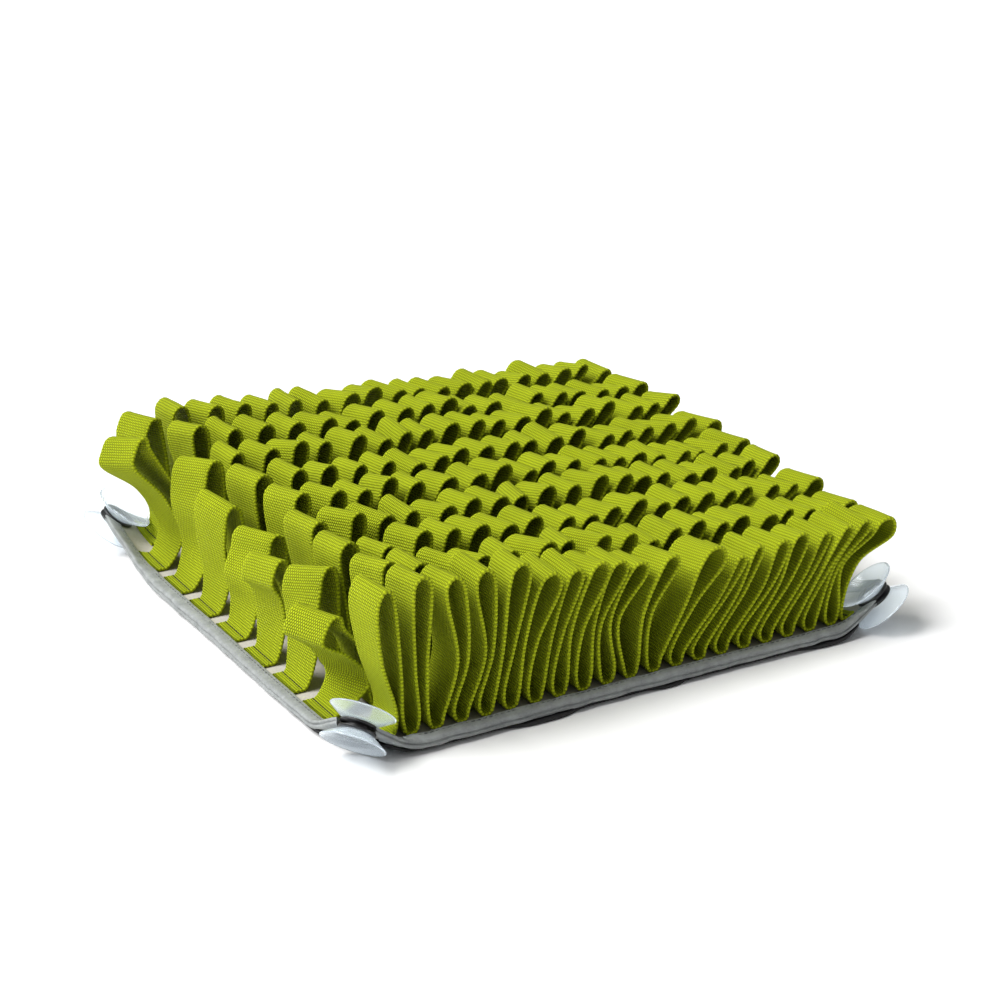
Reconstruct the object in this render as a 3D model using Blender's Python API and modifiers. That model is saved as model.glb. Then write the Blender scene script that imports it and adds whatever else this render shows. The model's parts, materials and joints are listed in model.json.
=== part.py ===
"""Snuffle mat: nine rows of looped webbing on a bound cloth panel, with a double suction cup in each corner.

Frame: X along the rows, Y from the front row to the back row, Z up, origin at the middle of the
underside. Sizes are in millimetres and are scaled to metres as the meshes are made.
"""
import math

import bmesh
import bpy
import numpy as np
from mathutils import Matrix, Vector

MM = 0.001

# Mat
SIDE_X = 332.0
SIDE_Y = 326.2
CORNER_R = 12.0
SHEET_T = 1.5
GAP = 0.4
BACKING_INSET = 3.0
TAPE_W = 7.5

# Heights of the stacked sheets
BACKING_TOP = SHEET_T
TAPE_LOW = BACKING_TOP + GAP
PANEL_LOW = TAPE_LOW + SHEET_T + GAP
PANEL_TOP = PANEL_LOW + SHEET_T
TAPE_TOP = PANEL_TOP + GAP + SHEET_T
PANEL_MID = (PANEL_LOW + PANEL_TOP) / 2

# Webbing
ROWS = 9
ROW_PITCH = 35.57
WEB_W = 25.0
WEB_T = 1.6
WEB_Z = PANEL_TOP + GAP + WEB_T / 2
ROW_START = -158.1
LOOPS = 20
LOOP_PITCH = 14.25
FIRST_FOLD = 30.6
FOLD_HALF = 4.0
LAST_FOOT = 293.7
LAST_LOW_Z = 14.0
LAST_LEG_BY_CUP = 292.4
LAST_LEG = 303.0
TAB_END = 302.0
MID_Z = 34.0
LEG_GAP = 3.6
LOOP_GAP = 3.1
LEAST_APART = 2.6
HEAD_LEAST = 5.0
SHOULDER_L = 2.0
SHOULDER_R = 6.0
TWIST = 4.5
FRONT_TWIST = 2.0
TWIST_VARIES = 2.0

# Eyelets and double suction cups
EYELET_IN = 9.0
HOLE_R = 6.6
BARREL_R = 6.2
BORE_R = 5.4
FLANGE_R = 9.7
FLANGE_Z = 1.15
FLANGE_T = 1.2
TAPE_CLEAR_R = 10.4
BACKING_CLEAR_R = 13.5
NECK_R = 5.0
CUP_R = 17.0
CUP_H = 8.9
CUP_WALL = 0.8
BOWL_R = 8.4
BOWL_Z = 2.7
FLOOR_GAP = 0.4

# Heights between which the lift of a raised corner fades out in what stands on it
LYING_Z = 10.0
STANDING_Z = 34.0

# Corners: side in X and in Y, slope of the raised flap, turn of its fold from the diagonal
CORNERS = [
    # sx, sy, slope, turn
    (-1, -1, 0.95, 9.0),
    (1, -1, 0.85, 12.0),
    (-1, 1, 0.75, 20.0),
    (1, 1, 0.60, 10.0),
]

# Front row, one line per loop after the first: x of the two legs at MID_Z, x of the two
# shoulders and height of the head
FRONT_LOOPS = [
    # mid_l, mid_r, top_l, top_r, top_z
    (32.9, 39.6, 32.2, 42.0, 81.0),
    (56.5, 62.4, 48.7, 59.0, 79.0),
    (72.6, 77.0, 67.6, 78.0, 80.0),
    (83.2, 89.6, 89.6, 100.5, 77.0),
    (95.2, 102.6, 105.6, 118.0, 69.0),
    (111.0, 117.4, 122.4, 134.2, 68.0),
    (121.8, 129.0, 134.4, 147.0, 66.0),
    (136.4, 140.6, 149.4, 159.0, 65.0),
    (146.2, 151.4, 162.2, 171.8, 61.0),
    (165.2, 170.4, 178.6, 187.4, 60.5),
    (190.6, 197.4, 203.2, 216.4, 62.0),
    (212.0, 216.6, 220.4, 226.0, 57.0),
    (224.6, 229.0, 234.0, 239.2, 57.0),
    (240.4, 246.8, 248.0, 256.0, 58.0),
    (252.4, 259.6, 262.6, 271.4, 56.0),
    (267.6, 272.6, 278.0, 284.4, 56.5),
    (277.6, 283.4, 289.4, 296.0, 58.0),
    (290.4, 295.0, 302.4, 309.4, 57.0),
    (298.6, 303.2, 317.0, 330.0, 54.0),
]

# First loop of each row: where the tab starts and ends, a low and a high point of the leg that
# rises from it, the two shoulders and the leg that comes down again
FIRST_LOOPS = [
    # start, end, low_x, low_z, leg_x, leg_z, left_x, left_z, right_x, right_z, mid_x
    (12.2, 21.5, 22.6, 11, 14.5, 42, 11.5, 74, 21.0, 79, 24.8),
    (0.0, 8.5, 20.0, 14, 8.0, 33, -2.5, 51, 6.0, 60, 20.5),
    (0.0, 8.5, 11.5, 16, 12.0, 38, 12.5, 56, 22.0, 61, 25.6),
    (0.0, 8.5, 11.0, 22, 8.5, 36, 4.0, 49, 13.5, 55, 22.5),
    (0.0, 8.5, 11.5, 14, 10.0, 30, 16.5, 50, 27.0, 52, 29.6),
    (0.0, 8.5, 11.5, 15, 9.5, 36, 9.5, 57, 19.5, 60, 24.0),
    (0.0, 8.5, 15.5, 20, 11.0, 44, 13.0, 66, 23.5, 71, 27.0),
    (0.0, 8.5, 15.0, 16, 4.5, 42, -15.0, 69, -5.0, 78, 19.0),
    (12.2, 21.5, 22.4, 11, 14.0, 34, 8.5, 68, 18.5, 75, 24.5),
]

# Rows behind the front one: lean of the second head and of the last, part of the lean that the
# legs have at MID_Z, height of the heads at the left end and fall per millimetre along the row
ROW_SHAPES = [
    # lean_first, lean_last, mid_share, head_z, fall
    (-4.0, 34.0, 0.42, 77.0, 0.078),
    (-3.0, 33.0, 0.30, 76.0, 0.076),
    (-6.0, 31.0, 0.46, 75.0, 0.070),
    (0.0, 35.0, 0.34, 77.0, 0.076),
    (-5.0, 32.0, 0.38, 77.0, 0.074),
    (-2.0, 30.0, 0.28, 79.0, 0.078),
    (-9.0, 31.0, 0.44, 80.0, 0.082),
    (-5.0, 27.0, 0.33, 80.0, 0.084),
]

COLOURS = {
    "panel_cloth": (0.48, 0.46, 0.42, 0.95),
    "binding_felt": (0.22, 0.25, 0.24, 0.95),
    "backing_sheet": (0.012, 0.012, 0.013, 0.8),
    "green_webbing": (0.36, 0.44, 0.05, 0.9),
    "black_rubber": (0.01, 0.01, 0.011, 0.5),
    "clear_soft_plastic": (0.62, 0.70, 0.74, 0.2),
}


def clear_scene():
    for obj in list(bpy.data.objects):
        bpy.data.objects.remove(obj, do_unlink=True)


def collection(name):
    made = bpy.data.collections.new(name)
    bpy.context.scene.collection.children.link(made)
    return made


def material(name):
    red, green, blue, rough = COLOURS[name]
    made = bpy.data.materials.new(name)
    made.use_nodes = True
    shader = made.node_tree.nodes["Principled BSDF"]
    shader.inputs["Base Color"].default_value = (red, green, blue, 1)
    shader.inputs["Roughness"].default_value = rough
    return made


def mesh_object(name, points, faces, group, slot=None):
    mesh = bpy.data.meshes.new(name)
    mesh.from_pydata([tuple(MM * c for c in p) for p in points], [], faces)
    obj = bpy.data.objects.new(name, mesh)
    group.objects.link(obj)
    if slot:
        mesh.materials.append(slot)
    return obj


def bake(obj):
    """Replace an object's mesh by the result of its modifiers."""
    graph = bpy.context.evaluated_depsgraph_get()
    mesh = bpy.data.meshes.new_from_object(obj.evaluated_get(graph))
    obj.modifiers.clear()
    obj.data = mesh


def rounded_outline(half_x, half_y, radius, steps=6):
    """Points of a rectangle with round corners, anticlockwise."""
    points = []
    for quarter, (sx, sy) in enumerate([(1, 1), (-1, 1), (-1, -1), (1, -1)]):
        for step in range(steps + 1):
            turn = math.pi / 2 * (quarter + step / steps)
            x = sx * (half_x - radius) + radius * math.cos(turn)
            y = sy * (half_y - radius) + radius * math.sin(turn)
            points.append((x, y))
    return points


def prism(name, outline, low, high, group, slot=None):
    """Closed slab between two heights over an anticlockwise outline."""
    count = len(outline)
    points = [(x, y, z) for z in (low, high) for x, y in outline]
    sides = [(i, (i + 1) % count, count + (i + 1) % count, count + i) for i in range(count)]
    ends = [tuple(reversed(range(count))), tuple(range(count, 2 * count))]
    return mesh_object(name, points, sides + ends, group, slot)


def cut(obj, cutter):
    tool = obj.modifiers.new(cutter.name, "BOOLEAN")
    tool.operation = "DIFFERENCE"
    tool.solver = "EXACT"
    tool.object = cutter


def corner_frame(sx, sy, slope, turn):
    """Centre and axis of a corner's eyelet, its inward direction and where its fold lies."""
    angle = math.radians(45 - turn)
    inward = (-sx * math.cos(angle), -sy * math.sin(angle))
    tilt = math.atan(slope)
    rise = (CUP_H - CUP_WALL) * math.cos(tilt) + CUP_R * math.sin(tilt) + FLOOR_GAP
    reach = EYELET_IN * (math.cos(angle) + math.sin(angle))
    fold = reach + (rise - PANEL_MID) / slope
    centre = (sx * (SIDE_X / 2 - EYELET_IN), sy * (SIDE_Y / 2 - EYELET_IN), rise)
    axis = (math.sin(tilt) * inward[0], math.sin(tilt) * inward[1], math.cos(tilt))
    return centre, axis, inward, fold


def raise_corners(obj):
    """Crease a piece along each corner's fold line and tip the corner up as a flat flap.

    Loops standing near a corner rise with it at the foot only.
    """
    shape = bmesh.new()
    shape.from_mesh(obj.data)
    bmesh.ops.triangulate(shape, faces=shape.faces[:])
    for sx, sy, slope, turn in CORNERS:
        _, _, inward, fold = corner_frame(sx, sy, slope, turn)
        point = (sx * SIDE_X / 2 + fold * inward[0], sy * SIDE_Y / 2 + fold * inward[1], 0)
        bmesh.ops.bisect_plane(
            shape,
            geom=shape.verts[:] + shape.edges[:] + shape.faces[:],
            dist=1e-7,
            plane_co=Vector(point) * MM,
            plane_no=Vector((inward[0], inward[1], 0)),
        )
    bmesh.ops.triangulate(shape, faces=shape.faces[:])
    lifts = {}
    for vert in shape.verts:
        for sx, sy, slope, turn in CORNERS:
            _, _, inward, fold = corner_frame(sx, sy, slope, turn)
            along_x = (vert.co.x / MM - sx * SIDE_X / 2) * inward[0]
            along_y = (vert.co.y / MM - sy * SIDE_Y / 2) * inward[1]
            share = min(1.0, max(0.0, (STANDING_Z - vert.co.z / MM) / (STANDING_Z - LYING_Z)))
            lift = share * max(0.0, slope * (fold - along_x - along_y))
            lifts[vert] = lifts.get(vert, 0.0) + lift * MM
    for vert, lift in lifts.items():
        vert.co.z += lift
    shape.to_mesh(obj.data)
    shape.free()


def drill(obj, radius, square, cutters):
    """Round holes through a sheet at the eyelets: square to its raised corners, or upright."""
    for index, corner in enumerate(CORNERS, 1):
        centre, axis, _, _ = corner_frame(*corner)
        place = Vector((0, 0, 1)).rotation_difference(Vector(axis if square else (0, 0, 1)))
        depth = 14 if square else 50
        bpy.ops.mesh.primitive_cylinder_add(vertices=32, radius=radius * MM, depth=depth * MM)
        cutter = bpy.context.object
        cutter.name = f"hole_{index}_for_{obj.name}"
        cutter.data.transform(Matrix.Translation(Vector(centre) * MM) @ place.to_matrix().to_4x4())
        for group in list(cutter.users_collection):
            group.objects.unlink(cutter)
        cutters.objects.link(cutter)
        cut(obj, cutter)
    bpy.context.view_layer.update()
    bake(obj)


def panel_piece(group, cutters, slot):
    inset = SHEET_T + GAP
    outline = rounded_outline(SIDE_X / 2 - inset, SIDE_Y / 2 - inset, CORNER_R - inset)
    panel = prism("base_panel", outline, PANEL_LOW, PANEL_TOP, group, slot)
    raise_corners(panel)
    drill(panel, HOLE_R, True, cutters)


def binding_pieces(group, cutters, slot):
    """Tape folded over each edge: a hollow frame, cut at the eyelets into one length a side."""
    outline = rounded_outline(SIDE_X / 2, SIDE_Y / 2, CORNER_R)
    tape = prism("tape", outline, TAPE_LOW, TAPE_TOP, cutters, slot)
    hollow = rounded_outline(SIDE_X / 2 - SHEET_T, SIDE_Y / 2 - SHEET_T, CORNER_R - SHEET_T)
    low = PANEL_LOW - GAP
    cut(tape, prism("binding_hollow", hollow, low, PANEL_TOP + GAP, cutters))
    window = rounded_outline(SIDE_X / 2 - TAPE_W, SIDE_Y / 2 - TAPE_W, 1.0)
    cut(tape, prism("binding_window", window, TAPE_LOW - 2, TAPE_TOP + 2, cutters))
    bpy.context.view_layer.update()
    bake(tape)
    raise_corners(tape)
    drill(tape, TAPE_CLEAR_R, False, cutters)
    sides = {"front": (1, -1), "back": (1, 1), "left": (0, -1), "right": (0, 1)}
    for side, (axis, sign) in sides.items():
        shape = bmesh.new()
        shape.from_mesh(tape.data)
        others = [vert for vert in shape.verts if tape_side(vert.co) != (axis, sign)]
        bmesh.ops.delete(shape, geom=others, context="VERTS")
        length = bpy.data.objects.new(f"binding_{side}", bpy.data.meshes.new(f"binding_{side}"))
        shape.to_mesh(length.data)
        shape.free()
        length.data.materials.append(slot)
        group.objects.link(length)


def tape_side(place):
    """Axis and sign of the mat's side that a point of the tape lies on."""
    if abs(place.y) / MM > SIDE_Y / 2 - TAPE_W - 1:
        return 1, (1 if place.y > 0 else -1)
    return 0, (1 if place.x > 0 else -1)


def backing_piece(group, cutters, slot):
    """Slip-stop sheet, cut a little unevenly so that it peeks out under the front binding."""
    half_x = SIDE_X / 2 - BACKING_INSET
    half_y = SIDE_Y / 2 - BACKING_INSET
    outline = []
    for x, y in rounded_outline(half_x, half_y, CORNER_R - BACKING_INSET):
        outline.append((x, y))
        if x < 0 and y == -half_y:
            for start, stop, out in [(85, 120, 4.6), (266, 300, 4.2)]:
                for along, reach in [(start, 0), (start + 8, out), (stop - 8, out), (stop, 0)]:
                    outline.append((ROW_START + along, -half_y - reach))
    backing = prism("backing", outline, 0, BACKING_TOP, group, slot)
    raise_corners(backing)
    drill(backing, BACKING_CLEAR_R, False, cutters)


def smooth_noise(rng, count, reach):
    """Random values that change slowly from one to the next, within about one unit."""
    raw = rng.uniform(-1, 1, count + 2 * reach)
    kernel = np.hanning(2 * reach + 1)
    kernel /= np.sqrt((kernel ** 2).sum())
    return np.convolve(raw, kernel, "valid")


def spaced(left, right, first, last_left):
    """Move legs along the row until none is nearer its neighbour than it may be."""
    places = np.column_stack([left, right]).ravel()
    gaps = np.tile([LOOP_GAP, LEG_GAP], len(left))
    places[0] = max(places[0], first + LOOP_GAP)
    for i in range(1, len(places)):
        places[i] = max(places[i], places[i - 1] + gaps[i])
    places[-2] = min(places[-2], last_left)
    for i in range(len(places) - 3, -1, -1):
        places[i] = min(places[i], places[i + 1] - gaps[i + 1])
    return places[0::2], places[1::2]


def fitted_heads(mid_l, top_l, top_r, top_z):
    """Narrow each head, or move the next one on, so that the next leg passes clear of it."""
    left = top_l.copy()
    right = top_r.copy()
    for i in range(len(left) - 1):
        rise = top_z[i + 1] - SHOULDER_L - MID_Z
        share = (top_z[i] - SHOULDER_R - MID_Z) / rise
        leg = mid_l[i + 1] + share * (left[i + 1] - mid_l[i + 1])
        gap = LEAST_APART * math.hypot(1, (left[i + 1] - mid_l[i + 1]) / rise)
        right[i] = max(left[i] + HEAD_LEAST, min(right[i], leg - gap))
        least = mid_l[i + 1] + (right[i] + gap - mid_l[i + 1]) / share
        left[i + 1] = max(left[i + 1], least)
        right[i + 1] = max(right[i + 1], left[i + 1] + HEAD_LEAST)
    return left, right


def loop_columns(row):
    """Legs and shoulders of the loops after the first, in the columns of the front row's table."""
    if row == 0:
        return np.array(FRONT_LOOPS).T
    lean_first, lean_last, share, head_z, fall = ROW_SHAPES[row - 1]
    rng = np.random.default_rng(70 + row)
    count = LOOPS - 1
    step = np.arange(count)
    base = FIRST_FOLD + LOOP_PITCH * (step + 0.5)
    lean = lean_last + (lean_first - lean_last) * np.exp(-step / 5.0)
    lean = lean + 2.2 * smooth_noise(rng, count, 2)
    mid = base + share * lean + 2.0 * smooth_noise(rng, count, 2)
    mid_width = 5.6 + 1.2 * rng.uniform(-1, 1, count)
    top = base + lean
    top_width = 9.4 + 1.6 * rng.uniform(-1, 1, count)
    top_z = head_z - fall * top + 1.4 * smooth_noise(rng, count, 3)
    sides = (mid - mid_width / 2, mid + mid_width / 2, top - top_width / 2, top + top_width / 2)
    return np.array([*sides, top_z])


def row_profile(row):
    """Section of one row as points (x, z) from its left tab to its right one, and their yaw."""
    start, end, low_x, low_z, leg_x, leg_z, left_x, left_z, right_x, right_z, mid_x = FIRST_LOOPS[row]
    mid_l, mid_r, top_l, top_r, top_z = loop_columns(row)
    last_leg = LAST_LEG_BY_CUP if row in (0, ROWS - 1) else LAST_LEG
    mid_l, mid_r = spaced(mid_l, mid_r, mid_x, last_leg)
    top_l, top_r = fitted_heads(mid_l, top_l, top_r, top_z)
    twist = TWIST_VARIES * smooth_noise(np.random.default_rng(40 + row), LOOPS, 3)
    twist = twist - (TWIST if row else FRONT_TWIST * (1 - np.arange(LOOPS) / LOOPS))
    points = [(start, 0, 0), (end, 0, 0), (low_x, low_z, 0), (leg_x, leg_z, 0.3 * twist[0])]
    points += [(left_x, left_z, twist[0]), (right_x, right_z, twist[0])]
    points += [(mid_x, MID_Z, 0.4 * twist[0])]
    for i in range(LOOPS - 1):
        fold = FIRST_FOLD + LOOP_PITCH * i
        turn = twist[i + 1]
        points += [(fold - FOLD_HALF, 0, 0), (fold + FOLD_HALF, 0, 0)]
        points += [(mid_l[i], MID_Z, 0.4 * turn)]
        points += [(top_l[i], top_z[i] - SHOULDER_L, turn)]
        points += [(top_r[i], top_z[i] - SHOULDER_R, turn)]
        points += [(mid_r[i], MID_Z, 0.4 * turn)]
    foot = FIRST_FOLD + LOOP_PITCH * (LOOPS - 2) + FOLD_HALF
    low_x = foot + (mid_l[-1] - foot) * LAST_LOW_Z / MID_Z + LOOP_GAP
    points += [(low_x, LAST_LOW_Z, 0), (LAST_FOOT, 0, 0), (TAB_END, 0, 0)]
    return np.array(points)


def webbing_piece(row, group, slot):
    """One length of webbing sewn down and looped up in turn: an open strip made solid."""
    x, z, yaw = row_profile(row).T
    x = x + ROW_START
    middle = ROW_PITCH * (row - (ROWS - 1) / 2)
    points = []
    for side in (-1, 1):
        y = np.full(len(x), middle + side * WEB_W / 2)
        points += list(zip(x + side * yaw / 2, y, z + WEB_Z))
    count = len(x)
    faces = [(i, i + count, i + 1 + count, i + 1) for i in range(count - 1)]
    web = mesh_object(f"webbing_row_{row + 1}", points, faces, group, slot)
    shell = web.modifiers.new("thickness", "SOLIDIFY")
    shell.thickness = WEB_T * MM
    shell.offset = 0
    shell.use_even_offset = True
    shell.use_rim = True
    bpy.context.view_layer.update()
    bake(web)
    raise_corners(web)


def turned(name, profile, centre, axis, group, slot, steps):
    """Solid of revolution: a closed profile of (radius, height) points about a tilted axis."""
    angles = [2 * math.pi * i / steps for i in range(steps)]
    points = []
    for angle in angles:
        points += [(r * math.cos(angle), r * math.sin(angle), h) for r, h in profile]
    count = len(profile)
    faces = []
    for i in range(steps):
        for k in range(count):
            a = i * count + k
            b = i * count + (k + 1) % count
            c = (i + 1) % steps * count + (k + 1) % count
            d = (i + 1) % steps * count + k
            faces.append((a, d, c, b))
    obj = mesh_object(name, points, faces, group, slot)
    shape = bmesh.new()
    shape.from_mesh(obj.data)
    bmesh.ops.remove_doubles(shape, verts=shape.verts[:], dist=1e-7)
    bmesh.ops.recalc_face_normals(shape, faces=shape.faces[:])
    shape.to_mesh(obj.data)
    shape.free()
    place = Vector((0, 0, 1)).rotation_difference(Vector(axis)).to_matrix().to_4x4()
    obj.data.transform(Matrix.Translation(Vector(centre) * MM) @ place)
    for face in obj.data.polygons:
        face.use_smooth = True
    return obj


def eyelet_piece(index, centre, axis, group, slot):
    top = FLANGE_Z + FLANGE_T
    profile = [
        (BORE_R, -top),
        (FLANGE_R - 0.5, -top),
        (FLANGE_R, -top + 0.5),
        (FLANGE_R, -FLANGE_Z),
        (BARREL_R, -FLANGE_Z),
        (BARREL_R, FLANGE_Z),
        (FLANGE_R, FLANGE_Z),
        (FLANGE_R, top - 0.5),
        (FLANGE_R - 0.5, top),
        (BORE_R, top),
    ]
    turned(f"eyelet_{index}", profile, centre, axis, group, slot, 32)


def cup_piece(index, centre, axis, group, slot):
    """Two thin bowls back to back on one waist, moulded in one piece."""
    bowl = []
    for step in range(6):
        t = step / 5
        radius = BOWL_R + (CUP_R - BOWL_R) * t
        height = BOWL_Z + (CUP_H - CUP_WALL - BOWL_Z) * t ** 1.1
        bowl.append((radius, height))
    outside = [(NECK_R, 0.0), (NECK_R, BOWL_Z)] + bowl
    inside = [(radius - CUP_WALL, height + CUP_WALL) for radius, height in reversed(bowl)]
    half = outside + inside + [(0.0, BOWL_Z + CUP_WALL)]
    lower = [(radius, -height) for radius, height in reversed(half[1:])]
    turned(f"suction_cup_{index}", lower + half, centre, axis, group, slot, 36)


def main():
    clear_scene()
    mat = collection("snuffle_mat")
    cutters = collection("cutters")
    slots = {name: material(name) for name in COLOURS}
    backing_piece(mat, cutters, slots["backing_sheet"])
    panel_piece(mat, cutters, slots["panel_cloth"])
    binding_pieces(mat, cutters, slots["binding_felt"])
    for row in range(ROWS):
        webbing_piece(row, mat, slots["green_webbing"])
    for index, corner in enumerate(CORNERS, 1):
        centre, axis, _, _ = corner_frame(*corner)
        eyelet_piece(index, centre, axis, mat, slots["black_rubber"])
        cup_piece(index, centre, axis, mat, slots["clear_soft_plastic"])
    for cutter in cutters.objects:
        cutter.hide_render = True
        cutter.display_type = "WIRE"


main()
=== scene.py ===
"""Snuffle mat: rows of looped green webbing sewn to a bound cloth base, with double suction cups.

Sizes below are in millimetres in the part's frame, and become metres as each mesh is made.
"""

import json
import math

import bpy
import numpy as np
from mathutils import Matrix, Vector

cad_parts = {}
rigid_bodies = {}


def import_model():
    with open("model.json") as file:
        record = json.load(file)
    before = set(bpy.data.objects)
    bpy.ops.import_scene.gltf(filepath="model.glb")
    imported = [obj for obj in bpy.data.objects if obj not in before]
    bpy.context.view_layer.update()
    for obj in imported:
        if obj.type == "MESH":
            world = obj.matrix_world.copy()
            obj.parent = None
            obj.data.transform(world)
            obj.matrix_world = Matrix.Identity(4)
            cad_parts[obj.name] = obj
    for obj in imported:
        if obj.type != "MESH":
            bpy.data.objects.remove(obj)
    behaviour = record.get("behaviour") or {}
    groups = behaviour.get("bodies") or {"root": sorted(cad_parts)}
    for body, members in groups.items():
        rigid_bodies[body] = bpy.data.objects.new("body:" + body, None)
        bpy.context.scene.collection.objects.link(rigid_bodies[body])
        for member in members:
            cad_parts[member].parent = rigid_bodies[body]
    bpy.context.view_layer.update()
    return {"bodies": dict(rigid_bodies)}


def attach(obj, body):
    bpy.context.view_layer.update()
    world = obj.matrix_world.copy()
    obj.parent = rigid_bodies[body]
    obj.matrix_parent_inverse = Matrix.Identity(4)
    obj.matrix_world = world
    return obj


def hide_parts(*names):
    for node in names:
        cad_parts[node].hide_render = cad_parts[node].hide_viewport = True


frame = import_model()
body = next(iter(frame["bodies"]))

# ---------------------------------------------------------------------------------------------
# Slip-stop sheet: the black rubbery sheet under the mat. It is sewn in with the edge tape, and
# peeks out below it in two places along the front. At each corner it is cut back round the
# eyelet, and the corner is raised, resting on its suction cup.
SIDE_X, SIDE_Y = 332.0, 326.2
EYELET_IN = 9.0
CUP_R, CUP_H, CUP_WALL = 17.0, 8.9, 0.8
FLOOR_GAP = 0.4
PANEL_MID = 4.55
FOLD_SOFTNESS, FOLD_TAIL = 4.0, 0.133
CORNERS = np.array([
    # side in X, side in Y, slope of the raised corner, turn of its fold from the diagonal
    (-1, -1, 0.95, 9.0),
    (1, -1, 0.85, 12.0),
    (-1, 1, 0.75, 20.0),
    (1, 1, 0.60, 10.0),
])


def corner_frames():
    """Eyelet centre, axis, inward direction and fold distance of each corner.

    A corner is a flap hinged on a line across it, tipped up by the slope, and just high enough
    for the lower cup's rim to clear the floor.
    """
    found = []
    for sx, sy, slope, turn in CORNERS:
        angle = math.radians(45 - turn)
        inward = np.array([-sx * math.cos(angle), -sy * math.sin(angle)])
        tilt = math.atan(slope)
        height = (CUP_H - CUP_WALL) * math.cos(tilt) + CUP_R * math.sin(tilt) + FLOOR_GAP
        fold = EYELET_IN * (math.cos(angle) + math.sin(angle)) + (height - PANEL_MID) / slope
        centre = np.array([sx * (SIDE_X / 2 - EYELET_IN), sy * (SIDE_Y / 2 - EYELET_IN), height])
        axis = np.array([*(math.sin(tilt) * inward), math.cos(tilt)])
        found.append((centre, axis, inward, fold, slope, np.array([sx, sy])))
    return found


def corner_rise(x, y):
    """Height that the raised corners add at (x, y): slope times a soft ramp, half of
    (t + root(t squared + softness squared)), of the distance t past each fold line, less the
    little that the ramp's tail still holds 30 mm before the fold."""
    rise = np.zeros(np.broadcast(x, y).shape)
    for _, _, inward, fold, slope, side in corner_frames():
        along = (x - side[0] * SIDE_X / 2) * inward[0] + (y - side[1] * SIDE_Y / 2) * inward[1]
        past = fold - along
        ramp = 0.5 * (past + np.sqrt(past ** 2 + FOLD_SOFTNESS ** 2))
        rise += slope * np.maximum(0, ramp - FOLD_TAIL)
    return rise


def skin(name, rings, material, uv=None, loop=False):
    """Closed mesh over rings of points: ring i, point j joins ring i + 1, point j + 1.

    The ends are capped, or with loop the last ring joins the first. A negative volume turns
    every face round.
    """
    count, around = rings.shape[:2]
    i = np.arange(count if loop else count - 1)[:, None]
    j = np.arange(around)[None, :]
    nexti, nextj = (i + 1) % count, (j + 1) % around
    quads = np.stack([i * around + j, nexti * around + j, nexti * around + nextj, i * around + nextj], -1)
    quads = quads.reshape(-1, 4)
    corners = rings.reshape(-1, 3)[quads]
    middle = corners.mean(axis=(0, 1))
    a, b, c, d = np.moveaxis(corners - middle, 1, 0)
    volume = (np.cross(a, b) * c).sum() + (np.cross(a, c) * d).sum()
    caps = [] if loop else [np.arange(around)[::-1], np.arange(around) + (count - 1) * around]
    if volume < 0:
        quads = quads[:, ::-1]
        caps = [cap[::-1] for cap in caps]
    corner_list = np.concatenate([quads.ravel(), *caps])
    sizes = np.array([4] * len(quads) + [around] * len(caps))
    mesh = bpy.data.meshes.new(name)
    mesh.vertices.add(count * around)
    mesh.vertices.foreach_set("co", (rings.reshape(-1, 3) / 1000).ravel())
    mesh.loops.add(len(corner_list))
    mesh.loops.foreach_set("vertex_index", corner_list.astype(np.int32))
    mesh.polygons.add(len(sizes))
    mesh.polygons.foreach_set("loop_start", np.concatenate([[0], np.cumsum(sizes)[:-1]]).astype(np.int32))
    mesh.update(calc_edges=True)
    mesh.polygons.foreach_set("use_smooth", np.ones(len(sizes), bool))
    if uv is not None:
        layer = mesh.uv_layers.new(name="cloth")
        layer.uv.foreach_set("vector", uv.reshape(-1, 2)[corner_list].astype(np.float32).ravel())
    mesh.materials.append(material)
    piece = bpy.data.objects.new(name, mesh)
    bpy.context.scene.collection.objects.link(piece)
    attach(piece, body)
    return piece


class Value:
    """One shader value. Arithmetic on it adds Math nodes to its tree."""

    def __init__(self, tree, output):
        self.tree, self.output = tree, output

    def math(self, operation, *others):
        """This value and the others through one Math node."""
        node = self.tree.add("ShaderNodeMath", {"operation": operation})
        for socket, value in zip(node.inputs, (self, *others)):
            self.tree.feed(socket, value)
        return Value(self.tree, node.outputs[0])

    def __add__(self, other):
        return self.math("ADD", other)

    def __mul__(self, other):
        return self.math("MULTIPLY", other)

    def __truediv__(self, other):
        return self.math("DIVIDE", other)

    def __sub__(self, other):
        return self.math("SUBTRACT", other)

    def __rsub__(self, other):
        return self.math("MULTIPLY", -1.0).math("ADD", other)

    __radd__, __rmul__ = __add__, __mul__


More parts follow.
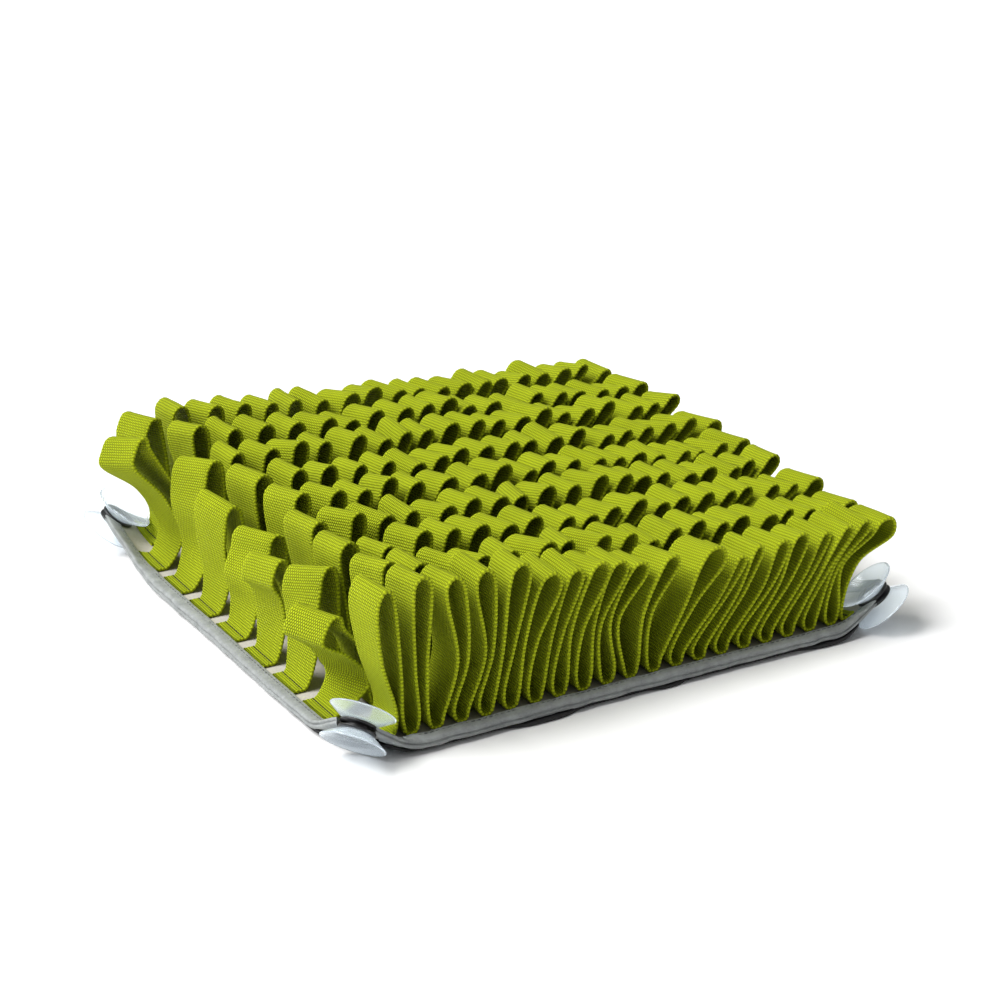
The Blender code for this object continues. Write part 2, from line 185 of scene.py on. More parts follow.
class Tree:
    """A material's node tree with its Principled shader."""

    def __init__(self, name, **constants):
        self.material = bpy.data.materials.new(name)
        self.material.use_nodes = True
        self.nodes = self.material.node_tree.nodes
        self.links = self.material.node_tree.links
        self.shader = self.nodes["Principled BSDF"]
        for socket, value in constants.items():
            self.shader.inputs[socket.replace("_", " ")].default_value = value

    def feed(self, socket, value):
        """Links a value to a socket, or sets a plain number or colour on it."""
        if isinstance(value, Value):
            self.links.new(value.output, socket)
        else:
            socket.default_value = value

    def add(self, kind, settings=None, values=None):
        """A node of this type with its settings, then its sockets' values or links."""
        node = self.nodes.new(kind)
        for setting, value in (settings or {}).items():
            setattr(node, setting, value)
        for socket, value in (values or {}).items():
            self.feed(node.inputs[socket], value)
        return node

    def noise(self, scale, detail=3.0, rough=0.6):
        """Noise from 0 to 1 over the object's own space."""
        place = Value(self, self.add("ShaderNodeTexCoord").outputs["Object"])
        values = {"Vector": place, "Scale": scale, "Detail": detail, "Roughness": rough}
        return Value(self, self.add("ShaderNodeTexNoise", None, values).outputs["Fac"])

    def cloth_place(self):
        """Millimetres along a strip and across it from its middle."""
        split = self.add("ShaderNodeSeparateXYZ")
        self.links.new(self.add("ShaderNodeUVMap", {"uv_map": "cloth"}).outputs[0], split.inputs[0])
        return Value(self, split.outputs[0]), Value(self, split.outputs[1])

    def mix(self, factor, low, high):
        """Colour from low to high by the factor."""
        node = self.add("ShaderNodeMix", {"data_type": "RGBA"})
        for index, value in ((0, factor), (6, low), (7, high)):
            self.feed(node.inputs[index], value)
        return Value(self, node.outputs[2])

    def colour(self, value):
        """Feeds the base colour."""
        self.feed(self.shader.inputs["Base Color"], value)

    def bump(self, height, strength, distance):
        """Bump from a height, feeding the normal."""
        values = {"Height": height, "Strength": strength, "Distance": distance}
        node = self.add("ShaderNodeBump", None, values)
        self.links.new(node.outputs[0], self.shader.inputs["Normal"])


def rubber_finish():
    """Matt black with a fine grain."""
    tree = Tree("slip_stop", Roughness=0.75)
    tree.colour(tree.mix(tree.noise(300.0), (0.008, 0.008, 0.009, 1), (0.02, 0.02, 0.021, 1)))
    tree.bump(tree.noise(900.0), 0.3, 0.0002)
    return tree.material


def sheet_rings(inset, low, high, notch, front_peek=None, across=40, along=110):
    """Rings over a flat sheet: x runs from side to side, and each ring goes out along y on top
    and back below. Near the corners y stops at a circle of the notch's radius round the eyelet,
    and the front edge moves out by front_peek(x)."""
    half_x, half_y = SIDE_X / 2 - inset, SIDE_Y / 2 - inset
    x = half_x * np.sin(np.linspace(-1, 1, along) * math.pi / 2)
    beyond = np.clip(np.abs(x) - SIDE_X / 2 + EYELET_IN, -notch, 0)
    reach = SIDE_Y / 2 - EYELET_IN - np.sqrt(notch ** 2 - beyond ** 2)
    reach = np.where(beyond > -notch, reach, half_y)
    share = np.sin(np.linspace(-1, 1, across) * math.pi / 2)
    share = np.concatenate([share, share[::-1]])
    front = reach + (front_peek(x) if front_peek else 0)
    y = np.where(share < 0, share * front[:, None], share * reach[:, None])
    z = np.where(np.arange(2 * across) < across, high, low)[None, :] + 0 * y
    x = np.broadcast_to(x[:, None], y.shape)
    return np.stack([x, y, z + corner_rise(x, y)], -1)


def front_peek(x):
    """How far the sheet shows past the tape along the front: two soft humps."""
    humps = [(-55.5, 19.0, 4.8), (125.0, 18.0, 4.4), (20.0, 9.0, 3.2)]
    return sum(out * np.exp(-((x - middle) / width) ** 4) for middle, width, out in humps)


backing = skin("slip_stop_sheet", sheet_rings(3.0, 0.0, 1.5, 13.5, front_peek), rubber_finish())
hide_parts("backing")

# ---------------------------------------------------------------------------------------------
# Base panel: the pale cloth that the webbing is sewn to. It shows between the rows' end tabs
# and down in the channels, and the edge tape folds over its four edges.


def panel_finish():
    """Pale grey-beige cloth with a fine speckle."""
    tree = Tree("base_cloth", Roughness=0.92)
    speckle = tree.noise(700.0)
    tree.colour(tree.mix(speckle, (0.36, 0.34, 0.30, 1), (0.56, 0.53, 0.48, 1)))
    tree.bump(speckle, 0.35, 0.0003)
    return tree.material


panel = skin("base_cloth", sheet_rings(1.9, 3.8, 5.3, 6.8), panel_finish())
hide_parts("base_panel")

# ---------------------------------------------------------------------------------------------
# Edge tape: soft grey tape folded over the panel's edge and sewn through, with a row of stitches
# near its inner edge. It is in four slightly wavy lengths that run from eyelet to eyelet.
SIDES = {"front": -90, "right": 0, "back": 90, "left": 180}
TAPE_CLEAR_R = 10.4
TAPE_MID = 4.5
SEAM_IN, SEAM_Z, SEAM_PITCH = 5.6, 7.05, 3.3


def wander(s, length, seed, terms, size):
    """Smooth variation along a path: a sum of sines of whole waves over the length, with random
    phases, falling off with the wave number."""
    rng = np.random.default_rng(seed)
    waves = np.arange(1, terms + 1)
    phases = rng.uniform(0, 2 * math.pi, terms)
    weights = rng.normal(0, 1, terms) / np.sqrt(waves)
    angles = 2 * math.pi * waves[:, None] * np.asarray(s)[None, :] / length + phases[:, None]
    return size * (weights[:, None] * np.sin(angles)).sum(0) / np.sqrt((weights ** 2).sum() / 2)


def on_side(side, along, out, height):
    """Points beside one edge of the mat, from the distance along it, out of it and up."""
    turn = math.radians(SIDES[side])
    edge = SIDE_X / 2 if side in ("left", "right") else SIDE_Y / 2
    x = (edge + out) * math.cos(turn) - along * math.sin(turn)
    y = (edge + out) * math.sin(turn) + along * math.cos(turn)
    return np.stack([x, y, height + corner_rise(x, y)], -1)


def side_reach(side, out):
    """Distance from the middle of a side to where its tape stops, on a circle round the eyelet."""
    other = SIDE_Y / 2 if side in ("left", "right") else SIDE_X / 2
    return other - EYELET_IN - np.sqrt(TAPE_CLEAR_R ** 2 - (EYELET_IN + out) ** 2)


def tape_rings(side):
    """Rings of the folded tape along one side: its section is a C open to the inside, with a
    crease along its outer face, and it wanders a little in and out, up and down."""
    section = np.array([
        # outward distance, height
        (-7.5, 6.7), (-7.1, 7.05), (-5.6, 6.85), (-4.0, 7.2), (-1.6, 7.15), (-0.6, 6.8), (-0.1, 6.0),
        (-0.1, 5.2), (-0.9, 4.7), (-0.9, 4.5), (0.1, 4.0), (0.15, 2.7), (-0.7, 2.0), (-5.0, 1.9), (-7.5, 2.0),
        (-7.5, 3.5), (-1.7, 3.5), (-1.7, 5.6), (-7.5, 5.6),
    ])
    reach = side_reach(side, section[:, 0])
    share = np.linspace(-1, 1, 150)
    wave_length, start = 310, 500
    s = share * reach.mean() + start
    seed = 3 + 10 * list(SIDES).index(side)
    calm = np.clip((1 - np.abs(share)) * 7, 0, 1)
    wave = wander(s, wave_length, seed, 26, 0.45) * calm
    lift = np.abs(wander(s, wave_length, seed + 1, 18, 0.35)) * calm
    puff = 1 + 0.05 * wander(s, wave_length, seed + 2, 60, 1.0)
    out = section[None, :, 0] + wave[:, None] * np.clip(1 + section[None, :, 0] / 8, 0, 1)
    height = TAPE_MID + (section[None, :, 1] - TAPE_MID) * puff[:, None] + lift[:, None] * 0.5
    return on_side(side, share[:, None] * reach, out, height)


def felt_finish():
    """Grey nap: fine fibre over cloudy light and dark patches."""
    tree = Tree("edge_tape", Roughness=0.95)
    fibre = tree.noise(800.0, 5.0, 0.75)
    cloud = tree.noise(170.0, 4.0, 0.7)
    shade = tree.mix(fibre * 0.5 + cloud * 1.1 - 0.3, (0.10, 0.11, 0.112, 1), (0.46, 0.49, 0.49, 1))
    tree.colour(tree.mix(tree.noise(40.0) * 0.4, shade, (0.34, 0.34, 0.33, 1)))
    tree.bump(fibre, 0.8, 0.0007)
    return tree.material


def thread_finish(name, colour):
    """Sewing thread: its colour, darker where the noise is low."""
    tree = Tree(name, Roughness=0.8)
    grain = tree.noise(2500.0)
    dark = tuple(0.6 * c for c in colour[:3]) + (1,)
    tree.colour(tree.mix(grain, dark, colour))
    return tree.material


def stitch_mesh(name, middles, along, up, length, radius, material, nodes_slot):
    """Many short stitches in one mesh: each is a spindle of six-sided rings along its own
    direction, its radius following the root of one minus the square of the distance along."""
    t = np.array([-1.0, -0.75, 0.0, 0.75, 1.0])
    size = np.array([0.15, 0.75, 1.0, 0.75, 0.15]) * radius
    side = np.cross(along, up)
    turn = np.arange(6) * math.pi / 3
    cosine, sine = np.cos(turn)[:, None], np.sin(turn)[:, None]
    ring = cosine * side[:, None, None] + sine * up[:, None, None]
    centre = middles[:, None, None] + (t * length / 2)[None, :, None, None] * along[:, None, None]
    points = centre + size[None, :, None, None] * ring
    count = len(middles)
    i, k, j = np.meshgrid(np.arange(count), np.arange(4), np.arange(6), indexing="ij")
    first = i * 30 + k * 6
    quads = np.stack([first + j, first + (j + 1) % 6, first + 6 + (j + 1) % 6, first + 6 + j], -1)
    starts = np.arange(count)[:, None] * 30
    near_caps, far_caps = starts + np.arange(5, -1, -1), starts + 24 + np.arange(6)
    faces = quads.reshape(-1, 4).tolist() + near_caps.tolist() + far_caps.tolist()
    mesh = bpy.data.meshes.new(name)
    mesh.from_pydata((points.reshape(-1, 3) / 1000).tolist(), [], faces)
    mesh.polygons.foreach_set("use_smooth", np.ones(len(faces), bool))
    mesh.materials.append(material)
    piece = bpy.data.objects.new(name, mesh)
    bpy.context.scene.collection.objects.link(piece)
    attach(piece, body)
    return piece


def tape_stitches(side):
    """Stitches along the tape's top, 1.9 mm in from its free edge."""
    reach = side_reach(side, -SEAM_IN) - 2.0
    along = np.linspace(-reach, reach, int(2 * reach / SEAM_PITCH))
    middles = on_side(side, along, -SEAM_IN + 0 * along, SEAM_Z + 0 * along)
    turn = math.radians(SIDES[side])
    ways = np.gradient(middles, axis=0)
    ways /= np.linalg.norm(ways, axis=1)[:, None]
    outward = np.array([math.cos(turn), math.sin(turn), 0.0])
    return middles, ways, np.cross(outward, ways)


felt = felt_finish()
grey_thread = thread_finish("grey_thread", (0.17, 0.18, 0.17, 1))
for side in SIDES:
    tape = skin(f"edge_tape_{side}", tape_rings(side), felt)
    stitches = tape_stitches(side)
    tape_thread = stitch_mesh(f"tape_stitches_{side}", *stitches, 2.3, 0.33, grey_thread, "binding_felt")
    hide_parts(f"binding_{side}")

# ---------------------------------------------------------------------------------------------
# Looped webbing: nine lengths of coarse green webbing, 25 mm wide. Each is sewn to the panel at
# both end tabs and at the bottom of every fold, and stands up in loops between the seams. Its
# selvedges are thicker than its middle and beaded where the weft turns round.
ROWS, LOOPS = 9, 20
ROW_PITCH, WEB_W, WEB_T = 35.57, 25.0, 1.6
WEB_Z = 6.5
ROW_START = -158.1
LOOP_PITCH, FIRST_FOLD = 14.25, 30.6
TAB_END = 302.0
MID_Z = 34.0
FOOT_HALF, FOOT_FLAT = 4.3, 2.2
LOOP_GAP, LEG_GAP, LEAST_APART = 3.1, 3.6, 2.6
SHOULDER_L, SHOULDER_R, HEAD_LEAST = 2.0, 6.0, 5.0
LAST_LEG_BY_CUP, LAST_LEG = 292.4, 303.0
TWIST_VARIES, TWIST, FRONT_TWIST = 2.0, 4.5, 3.5

# Front row, one line per loop after the first: x of the legs at MID_Z, x of the shoulders and
# height of the head
FRONT_LOOPS = [
    # mid_l, mid_r, top_l, top_r, top_z
    (32.9, 39.6, 32.2, 42.0, 81.0),
    (56.5, 62.4, 48.7, 59.0, 79.0),
    (72.6, 77.0, 67.6, 78.0, 80.0),
    (83.2, 89.6, 89.6, 100.5, 77.0),
    (95.2, 102.6, 105.6, 118.0, 69.0),
    (111.0, 117.4, 122.4, 134.2, 68.0),
    (121.8, 129.0, 134.4, 147.0, 66.0),
    (136.4, 140.6, 149.4, 159.0, 65.0),
    (146.2, 151.4, 162.2, 171.8, 61.0),
    (165.2, 170.4, 178.6, 187.4, 60.5),
    (190.6, 197.4, 203.2, 216.4, 62.0),
    (212.0, 216.6, 220.4, 226.0, 57.0),
    (224.6, 229.0, 234.0, 239.2, 57.0),
    (240.4, 246.8, 248.0, 256.0, 58.0),
    (252.4, 259.6, 262.6, 271.4, 56.0),
    (267.6, 272.6, 278.0, 284.4, 56.5),
    (277.6, 283.4, 289.4, 296.0, 58.0),
    (290.4, 295.0, 302.4, 309.4, 57.0),
    (298.6, 303.2, 317.0, 330.0, 54.0),
]

# First loop of each row: where the tab starts and ends, a low and a high point of the leg that
# rises from it, the two shoulders, the leg that comes down again, and how far the strip's far
# edge lies to the right of its near edge low on the leg and at the head, and above it there
FIRST_LOOPS = [
    # start, end, low_x, low_z, leg_x, leg_z, left_x, left_z, right_x, right_z, mid_x, low_yaw, yaw, roll
    (12.2, 21.5, 22.6, 11, 14.5, 42, 11.5, 74, 21.0, 79, 24.8, 0, -3, 0),
    (0.0, 8.5, 20.0, 14, 8.5, 32, -4.0, 47, 7.5, 54, 20.5, -13, -10, 0),
    (0.0, 8.5, 11.5, 16, 12.0, 38, 12.5, 56, 22.0, 61, 25.6, -4, -10, -6),
    (0.0, 8.5, 11.0, 22, 8.5, 36, 4.0, 49, 13.5, 55, 22.5, -5, -6, -3),
    (0.0, 8.5, 11.5, 14, 10.0, 30, 16.5, 50, 27.0, 52, 29.6, -4, -11, -1),
    (0.0, 8.5, 11.5, 15, 9.5, 36, 9.5, 57, 19.5, 60, 24.0, -4, -7, 3),
    (0.0, 8.5, 15.5, 20, 11.0, 44, 13.0, 66, 23.5, 71, 27.0, -6, -10, -3.5),
    (0.0, 8.5, 15.0, 16, 4.5, 42, -15.0, 69, -5.0, 78, 19.0, -4, -10.6, -5.6),
    (12.2, 21.5, 22.4, 11, 14.0, 34, 8.5, 68, 18.5, 75, 24.5, 0, -8, -2),
]

# Rows behind the front one: lean of the second head and of the last, part of the lean that the
# legs have at MID_Z, height of the heads at the left end and fall per millimetre along the row
ROW_SHAPES = [
    # lean_first, lean_last, mid_share, head_z, fall
    (-4.0, 34.0, 0.42, 77.0, 0.078),
    (-3.0, 33.0, 0.30, 76.0, 0.076),
    (-6.0, 31.0, 0.46, 75.0, 0.070),
    (0.0, 35.0, 0.34, 77.0, 0.076),
    (-5.0, 32.0, 0.38, 77.0, 0.074),
    (-2.0, 30.0, 0.28, 79.0, 0.078),
    (-9.0, 31.0, 0.44, 80.0, 0.082),
    (-5.0, 27.0, 0.33, 80.0, 0.084),
]


def smooth_noise(rng, count, reach):
    """Random values that change slowly from one to the next: white noise under a Hann window."""
    raw = rng.uniform(-1, 1, count + 2 * reach)
    kernel = np.hanning(2 * reach + 1)
    kernel /= np.sqrt((kernel ** 2).sum())
    return np.convolve(raw, kernel, "valid")


def spaced(left, right, first, last_left):
    """Legs moved along the row until none is nearer its neighbour than LOOP_GAP, or LEG_GAP
    inside one loop: a running maximum forwards, then a running minimum back from the last leg."""
    places = np.column_stack([left, right]).ravel()
    gaps = np.tile([LOOP_GAP, LEG_GAP], len(left))
    places[0] = max(places[0], first + LOOP_GAP)
    for i in range(1, len(places)):
        places[i] = max(places[i], places[i - 1] + gaps[i])
    places[-2] = min(places[-2], last_left)
    for i in range(len(places) - 3, -1, -1):
        places[i] = min(places[i], places[i + 1] - gaps[i + 1])
    return places[0::2], places[1::2]


def fitted_heads(mid_l, top_l, top_r, top_z):
    """Heads narrowed, or moved on, so that the next leg, a straight line from its MID_Z point to
    its shoulder, passes clear of each right shoulder."""
    left, right = top_l.copy(), top_r.copy()
    for i in range(len(left) - 1):
        rise = top_z[i + 1] - SHOULDER_L - MID_Z
        share = (top_z[i] - SHOULDER_R - MID_Z) / rise
        leg = mid_l[i + 1] + share * (left[i + 1] - mid_l[i + 1])
        gap = LEAST_APART * math.hypot(1, (left[i + 1] - mid_l[i + 1]) / rise)
        right[i] = max(left[i] + HEAD_LEAST, min(right[i], leg - gap))
        least = mid_l[i + 1] + (right[i] + gap - mid_l[i + 1]) / share
        left[i + 1] = max(left[i + 1], least)
        right[i + 1] = max(right[i + 1], left[i + 1] + HEAD_LEAST)
    return left, right


def loop_columns(row):
    """Legs and shoulders of a row's loops after the first, as columns. Behind the front row the
    lean runs from lean_first to lean_last by an exponential, with slow noise."""
    if row == 0:
        return np.array(FRONT_LOOPS).T
    lean_first, lean_last, share, head_z, fall = ROW_SHAPES[row - 1]
    rng = np.random.default_rng(70 + row)
    step = np.arange(LOOPS - 1)
    base = FIRST_FOLD + LOOP_PITCH * (step + 0.5)
    lean = lean_last + (lean_first - lean_last) * np.exp(-step / 5.0)
    lean = lean + 2.2 * smooth_noise(rng, len(step), 2)
    mid = base + share * lean + 2.0 * smooth_noise(rng, len(step), 2)
    mid_width = 5.6 + 1.2 * rng.uniform(-1, 1, len(step))
    top = base + lean
    top_width = 9.4 + 1.6 * rng.uniform(-1, 1, len(step))
    top_z = head_z - fall * top + 1.4 * smooth_noise(rng, len(step), 3)
    sides = (mid - mid_width / 2, mid + mid_width / 2, top - top_width / 2, top + top_width / 2)
    return np.array([*sides, top_z])


def head_arc(left, right, top, mid):
    """Arch over the head as five (x, z) points: two quarter ellipses, the left one deeper. It
    stands on the loop's own lean, turned no more than 0.6 radians."""
    half = (right - left) / 2
    lean = min(0.6, max(-0.6, math.atan2((left + right) / 2 - mid, top - MID_Z)))
    turn = math.pi / 2 * np.array([-1.0, -0.55, 0.05, 0.52, 1.0])
    across = half * np.sin(turn)
    down = np.array([2.0, 1.75, 1.2, 1.15, 1.15]) * half * (1 - np.cos(turn))
    x = (left + right) / 2 + across * math.cos(lean) - down * math.sin(lean)
    return np.stack([x, top - across * math.sin(lean) - down * math.cos(lean)], -1)


def row_controls(row):
    """Control points of one row's centre line, as rows of x, z, yaw, roll and sway.

    yaw and roll are how far the far edge lies right of and above the near edge, and sway moves
    the strip across the row. Every head has its own small tilt.
    """
    start, end, low_x, low_z, leg_x, leg_z, *head = FIRST_LOOPS[row]
    left_x, left_z, right_x, right_z, mid_x, low_yaw, yaw, tip = head
    mid_l, mid_r, top_l, top_r, top_z = loop_columns(row)
    last_leg = LAST_LEG_BY_CUP if row in (0, ROWS - 1) else LAST_LEG
    mid_l, mid_r = spaced(mid_l, mid_r, mid_x, last_leg)
    top_l, top_r = fitted_heads(mid_l, top_l, top_r, top_z)
    rng = np.random.default_rng(900 + row)
    twist = TWIST_VARIES * smooth_noise(np.random.default_rng(40 + row), LOOPS, 3)
    twist = twist - (TWIST if row else FRONT_TWIST * (1 - np.arange(LOOPS) / LOOPS))
    loose = rng.normal(0, 1, (LOOPS, 4))
    points = [(start, 0, 0, 0, 0), ((start + end) / 2, 0, 0, 0, 0), (end - 1.5, 0.3, 0, 0, 0)]
    points += [(low_x, low_z, low_yaw, 0, 0), (leg_x, leg_z, 0.6 * low_yaw + 0.4 * yaw, 0.3 * tip, 0)]
    wide = right_x - left_x
    points += [(left_x, left_z - 6, yaw, tip, 0), (left_x + 0.16 * wide, left_z + 1.5, yaw, tip, 0)]
    points += [(left_x + 0.5 * wide, (left_z + right_z) / 2 + 3.4, yaw, tip, 0)]
    points += [(right_x - 0.12 * wide, right_z - 0.5, yaw, tip, 0), (right_x, right_z - 6, yaw, tip, 0)]
    points += [(mid_x, MID_Z, 0.4 * yaw, 0.3 * tip, 0)]
    for i in range(LOOPS - 1):
        fold = FIRST_FOLD + LOOP_PITCH * i
        turn = twist[i + 1] + 2.4 * loose[i, 0]
        roll, sway, taller = 1.8 * loose[i, 1] - (2.0 if row else 0.0), 1.3 * loose[i, 2], 1.3 * loose[i, 3]
        points += [(fold - FOOT_HALF, 7.0, 0, 0, 0), (fold - FOOT_FLAT, 0.7, 0, 0, 0)]
        points += [(fold + FOOT_FLAT, 0.7, 0, 0, 0), (fold + FOOT_HALF, 7.0, 0, 0, 0)]
        points += [(mid_l[i], MID_Z, 0.4 * turn, 0, 0.3 * sway)]
        arc = head_arc(top_l[i], top_r[i], top_z[i] + taller, (mid_l[i] + mid_r[i]) / 2)
        points += [(x, z, turn, roll, sway) for x, z in arc]
        points += [(mid_r[i], MID_Z, 0.4 * turn, 0, 0.3 * sway)]
    foot = FIRST_FOLD + LOOP_PITCH * (LOOPS - 2) + 4.0
    points += [(foot + (mid_l[-1] - foot) * 0.41 + 3.1, 14.0, 0, 0, 0)]
    points += [(294.6, 1.0, 0, 0, 0), (297.5, 0, 0, 0, 0), (TAB_END, 0, 0, 0, 0)]
    return np.array(points, float)


def smooth_path(points, per_step):
    """Centripetal Catmull-Rom curve through the control points: every step blends three lines
    twice over, on knots spaced by the root of the distance between points."""
    ends = [2 * points[0] - points[1], 2 * points[-1] - points[-2]]
    p = np.vstack([ends[0], points, ends[1]])
    gaps = np.sqrt(np.linalg.norm(np.diff(p[:, :2], axis=0), axis=1))
    knots = np.concatenate([[0], np.cumsum(gaps)])
    share = np.arange(per_step) / per_step
    t0, t1, t2, t3 = (knots[k:len(knots) - 3 + k, None] for k in range(4))
    p0, p1, p2, p3 = (p[k:len(p) - 3 + k, None] for k in range(4))
    t = t1 + (t2 - t1) * share

    def blend(a, b, ta, tb):
        w = ((t - ta) / (tb - ta))[..., None]
        return a * (1 - w) + b * w

    a1, a2, a3 = blend(p0, p1, t0, t1), blend(p1, p2, t1, t2), blend(p2, p3, t2, t3)
    b1, b2 = blend(a1, a2, t0, t2), blend(a2, a3, t1, t3)
    return np.vstack([blend(b1, b2, t1, t2).reshape(-1, points.shape[1]), points[-1:]])


def webbing_rings(row, step, bead):
    """Rings of one row's strip and their cloth coordinates.

    The centre line is read at even steps of length s. At each, a flat section lies along the
    strip's width and its own normal; it thickens towards the selvedges, whose edge moves in and
    out by a cosine of s over the bead pitch.
    """
    path = smooth_path(row_controls(row), 24)
    gone = np.concatenate([[0], np.cumsum(np.linalg.norm(np.diff(path[:, :2], axis=0), axis=1))])
    s = np.linspace(0, gone[-1], int(gone[-1] / step))
    x, z, yaw, roll, sway = (np.interp(s, gone, column) for column in path.T)
    tangent = np.stack([np.gradient(x), np.gradient(z)], -1)
    tangent /= np.linalg.norm(tangent, axis=1)[:, None]
    half_width = np.array([0.72, 0.90, 0.975])
    upper = np.concatenate([[-1], -half_width[::-1], [0], half_width])
    half_thick = np.array([0, 0.80, 1.12, 0.9, 0.86, 0.9, 1.12, 0.80])
    width, thick = np.concatenate([upper, -upper]), np.concatenate([half_thick, -half_thick])
    ripple = np.cos(2 * math.pi * s / bead)[:, None] * np.clip(np.abs(width) * 12 - 10.8, 0, 1)
    across = WEB_W / 2 * width + 0.12 * np.sign(width) * ripple
    cup = 0.35 * smooth_noise(np.random.default_rng(300 + row), len(s), 60)[:, None]
    off = WEB_T / 2 * thick * (1 + 0.09 * ripple) + cup * (1 - width ** 2)
    standing = np.clip((34.0 - z - WEB_Z) / 24.0, 0, 1)[:, None]
    ring_x = ROW_START + x[:, None] + yaw[:, None] * width / 2 - tangent[:, 1:] * off
    ring_y = ROW_PITCH * (row - 4) + across + sway[:, None]
    ring_z = WEB_Z + z[:, None] + roll[:, None] * width / 2 + tangent[:, :1] * off
    ring_z = ring_z + standing * corner_rise(ring_x, ring_y)
    uv = np.stack([np.broadcast_to(s[:, None], ring_x.shape), np.broadcast_to(across, ring_x.shape)], -1)
    return np.stack([ring_x, ring_y, ring_z], -1), uv, s[-1]


def webbing_finish():
    """Plain weave: grains from the product of two rectified sines, along and across, and one
    bead of thread to each turn of the weft along the selvedges."""
    tree = Tree("green_webbing", Roughness=0.95, Specular_IOR_Level=0.2)
    u, v = tree.cloth_place()
    drift = tree.noise(110.0) * 0.8
    along = (u + drift) / 1.5
    over = (v + drift) / 1.3 + along.math("FLOOR") * 0.5
    ribs = (along * math.pi).math("SINE").math("ABSOLUTE").math("POWER", 0.4)
    weave = ribs * (over * math.pi).math("SINE").math("ABSOLUTE").math("POWER", 0.75)
    edge = (v.math("ABSOLUTE") - 11.3).math("MULTIPLY", 1.6).math("MINIMUM", 1.0).math("MAXIMUM", 0.0)
    bead = (u * (2 * math.pi / 2.2)).math("COSINE") * 0.25 + 0.6
    height = weave * (1.0 - edge) + bead * edge
    fibre = tree.noise(1400.0, 3.0, 0.7)
    cloud = tree.noise(40.0)
    tone = height * 0.85 + fibre * 0.3 + cloud * 0.25 - 0.22
    deep, light = (0.070, 0.090, 0.002, 1), (0.56, 0.66, 0.013, 1)
    tree.colour(tree.mix(tone.math("MINIMUM", 1.0), deep, light))
    tree.bump(height + fibre * 0.4, 1.0, 0.0007)
    return tree.material


webbing_green = webbing_finish()
rows = []
for row in range(ROWS):
    step, bead = (0.73, 2.2) if row == 0 else (1.3, 2.6)
    rings, uv, length = webbing_rings(row, step, bead)
    web = skin(f"webbing_{row + 1}", rings, webbing_green, uv)
    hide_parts(f"webbing_row_{row + 1}")
    rows.append((web, length))

# ---------------------------------------------------------------------------------------------
# Tab seams: dark olive thread that holds the webbing's end tabs to the panel. It is a row of
# stitches across each tab, 4 or 5 mm from its cut end.


def tab_stitches(row):
    """Stitches across the two end tabs of a row, at even steps along y, just above the cloth."""
    y = ROW_PITCH * (row - 4) + np.arange(-10.5, 10.6, 2.6)
    start = FIRST_LOOPS[row][0]
    x = np.concatenate([np.full(len(y), ROW_START + start + 5.0), np.full(len(y), ROW_START + TAB_END - 4.0)])
    y = np.concatenate([y, y])
    z = WEB_Z + 0.95 + corner_rise(x, y)
    along = np.broadcast_to([0.0, 1.0, 0.0], (len(y), 3))
    up = np.broadcast_to([0.0, 0.0, 1.0], (len(y), 3))
    return np.stack([x, y, z], -1), along, up


olive_thread = thread_finish("olive_thread", (0.035, 0.04, 0.004, 1))
for row, (web, length) in enumerate(rows):
    seam = stitch_mesh(f"tab_stitches_{row + 1}", *tab_stitches(row), 2.3, 0.4, olive_thread, "green_webbing")

# ---------------------------------------------------------------------------------------------
# Eyelets: black rubber rings set through the four corners. Their two flanges clamp the panel's
# cloth, and their bores hold the cups' necks.


def turned(name, profile, centre, axis, material, steps=72):
    """Surface of revolution: each (radius, height) of the profile goes round the tilted axis."""
    angle = np.arange(steps) * 2 * math.pi / steps
    r, h = np.array(profile).T
    local = np.stack([
        np.cos(angle)[:, None] * r, np.sin(angle)[:, None] * r, np.broadcast_to(h, (steps, len(r))),
    ], -1)
    turn = np.array(Vector((0, 0, 1)).rotation_difference(Vector(axis)).to_matrix())
    return skin(name, local @ turn.T + centre, material, loop=True)


def eyelet_profile():
    """Section of a flanged ring with rounded rims."""
    edge, top = 9.7, 2.35
    bend = np.linspace(0, math.pi / 2, 6)
    rim = [(edge - 0.7 + 0.7 * math.sin(t), top - 0.7 + 0.7 * math.cos(t)) for t in bend]
    upper = [(5.4, top - 0.3), (5.7, top)] + rim + [(edge, 1.15), (6.2, 1.15)]
    return upper + [(r, -h) for r, h in reversed(upper)]


def black_finish():
    """Satin black rubber."""
    tree = Tree("black_rubber", Roughness=0.42)
    tree.colour(tree.mix(tree.noise(400.0), (0.006, 0.006, 0.007, 1), (0.014, 0.014, 0.015, 1)))
    return tree.material


black_rubber = black_finish()
for index, (centre, axis, *_) in enumerate(corner_frames(), 1):
    ring = turned(f"eyelet_ring_{index}", eyelet_profile(), centre, axis, black_rubber)
    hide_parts(f"eyelet_{index}")

# ---------------------------------------------------------------------------------------------
# Double suction cups: one moulding of clear soft plastic each, two thin bowls back to back on
# a neck that passes through the eyelet. The lower bowl's rim ends FLOOR_GAP above the floor.


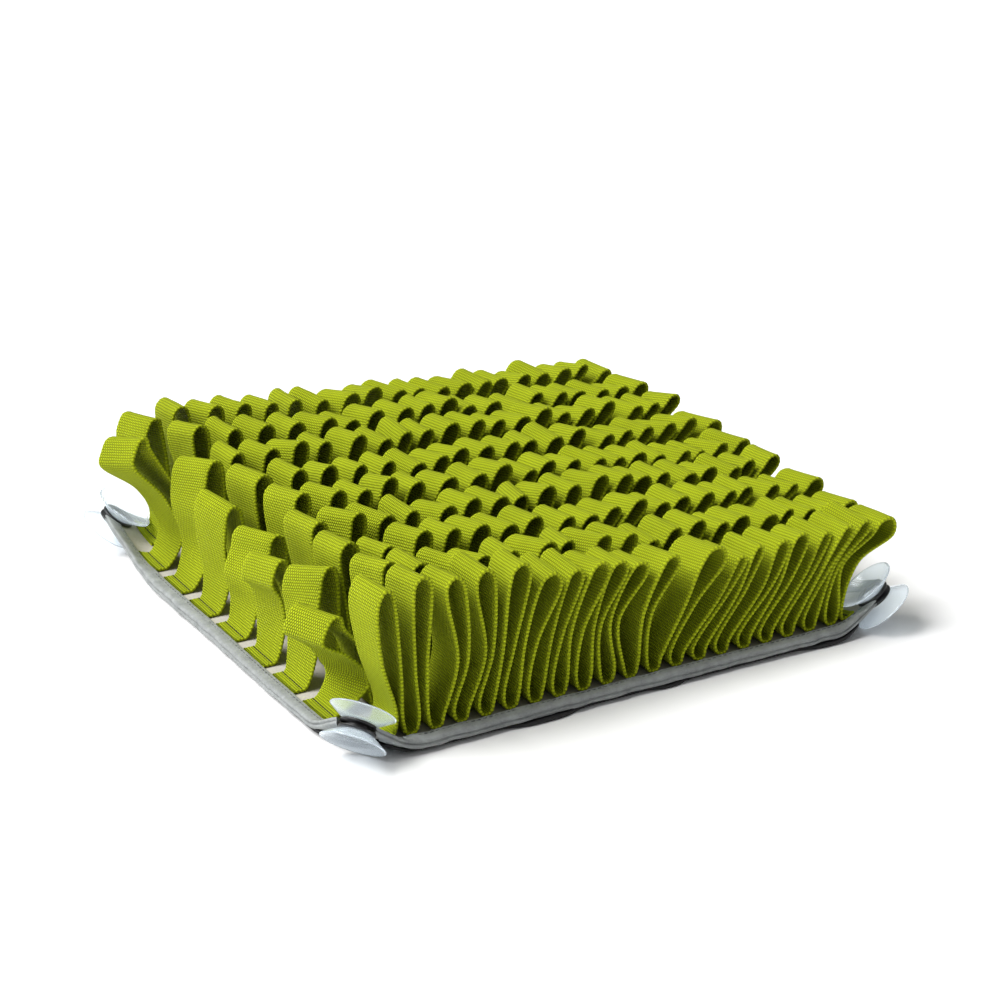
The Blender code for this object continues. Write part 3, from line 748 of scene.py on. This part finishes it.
def cup_profile():
    """Section of the double cup: neck, then a bowl whose height follows a power of the way out
    to its rim, with a rounded lip, and the same turned over below."""
    t = np.linspace(0, 1, 22)
    radius = 8.4 + (CUP_R - 8.4) * t
    outer = 2.7 + (CUP_H - 0.8 - 2.7) * t ** 1.1
    wall = 0.9 - 0.2 * t
    lip = [(CUP_R + 0.1, CUP_H - 0.65), (CUP_R + 0.05, CUP_H - 0.3), (CUP_R - 0.3, CUP_H - 0.1)]
    upper = [(4.9, 0.0), (4.9, 2.3), (5.2, 2.65), (6.8, 2.6)] + list(zip(radius, outer)) + lip
    upper += list(zip(radius - 0.6, outer + wall))[::-1][1:] + [(6.4, 3.45), (0.05, 3.5)]
    lower = [(r, -h) for r, h in reversed(upper[1:])]
    return lower + upper


def clear_finish():
    """Clear soft plastic, a little milky and blue; part of the milky look is painted light, a faint
    blue-white glow, though the cups are no lamp.
    """
    tree = Tree("clear_plastic", Roughness=0.15, IOR=1.35)
    tree.shader.inputs["Transmission Weight"].default_value = 0.85
    tree.shader.inputs["Base Color"].default_value = (0.90, 0.96, 1.0, 1)
    # Painted light: a faint blue-white emission glow on the cups, which give off no light of their own.
    tree.shader.inputs["Emission Color"].default_value = (0.80, 0.90, 1.0, 1)
    tree.shader.inputs["Emission Strength"].default_value = 0.08
    return tree.material


clear_plastic = clear_finish()
for index, (centre, axis, *_) in enumerate(corner_frames(), 1):
    cup = turned(f"double_cup_{index}", cup_profile(), centre, axis, clear_plastic)
    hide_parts(f"suction_cup_{index}")

# ---------------------------------------------------------------------------------------------
# Studio: a white floor, one large soft light from the upper left, a pale surround and the
# camera, low in front of the left corner.


def floor_finish():
    """Plain white."""
    tree = Tree("studio_white", Roughness=0.9)
    tree.shader.inputs["Base Color"].default_value = (0.93, 0.93, 0.93, 1)
    return tree.material


def sun_light(name, way, spread, strength):
    """Sun from a direction, spread over an angle in degrees so that shadows are soft."""
    lamp = bpy.data.lights.new(name, "SUN")
    lamp.angle, lamp.energy = math.radians(spread), strength
    obj = bpy.data.objects.new(name, lamp)
    obj.rotation_euler = (-Vector(way)).to_track_quat("-Z", "Y").to_euler()
    bpy.context.scene.collection.objects.link(obj)


floor_mesh = bpy.data.meshes.new("studio_floor")
reach, level = 6.0, -0.0006
floor_corners = [(x * reach, y * reach, level) for x, y in ((-1, -1), (1, -1), (1, 1), (-1, 1))]
floor_mesh.from_pydata(floor_corners, [], [(0, 1, 2, 3)])
floor_mesh.materials.append(floor_finish())
floor = bpy.data.objects.new("studio_floor", floor_mesh)
bpy.context.scene.collection.objects.link(floor)

sun_light("key", (-0.6, 0.25, 0.85), 42.0, 4.9)
world = bpy.data.worlds.new("studio")
world.use_nodes = True
world.node_tree.nodes["Background"].inputs["Color"].default_value = (1, 1, 1, 1)
world.node_tree.nodes["Background"].inputs["Strength"].default_value = 0.25
bpy.context.scene.world = world
bpy.context.scene.view_settings.view_transform = "Standard"

azimuth, elevation = math.radians(-29.97), math.radians(22.24)
back = Vector((
    math.sin(azimuth) * math.cos(elevation), -math.cos(azimuth) * math.cos(elevation), math.sin(elevation),
))
target = Vector((0.0632, 0.0893, 0.0065))
camera_data = bpy.data.cameras.new("camera")
camera_data.lens = 93.85
camera_data.sensor_width = 36.0
camera_data.clip_end = 50.0
camera = bpy.data.objects.new("camera", camera_data)
right = Vector((0, 0, 1)).cross(back).normalized()
axes = Matrix((right, back.cross(right), back)).transposed()
camera.matrix_world = Matrix.Translation(target + 1.571 * back) @ axes.to_4x4()
bpy.context.scene.collection.objects.link(camera)
bpy.context.scene.camera = camera
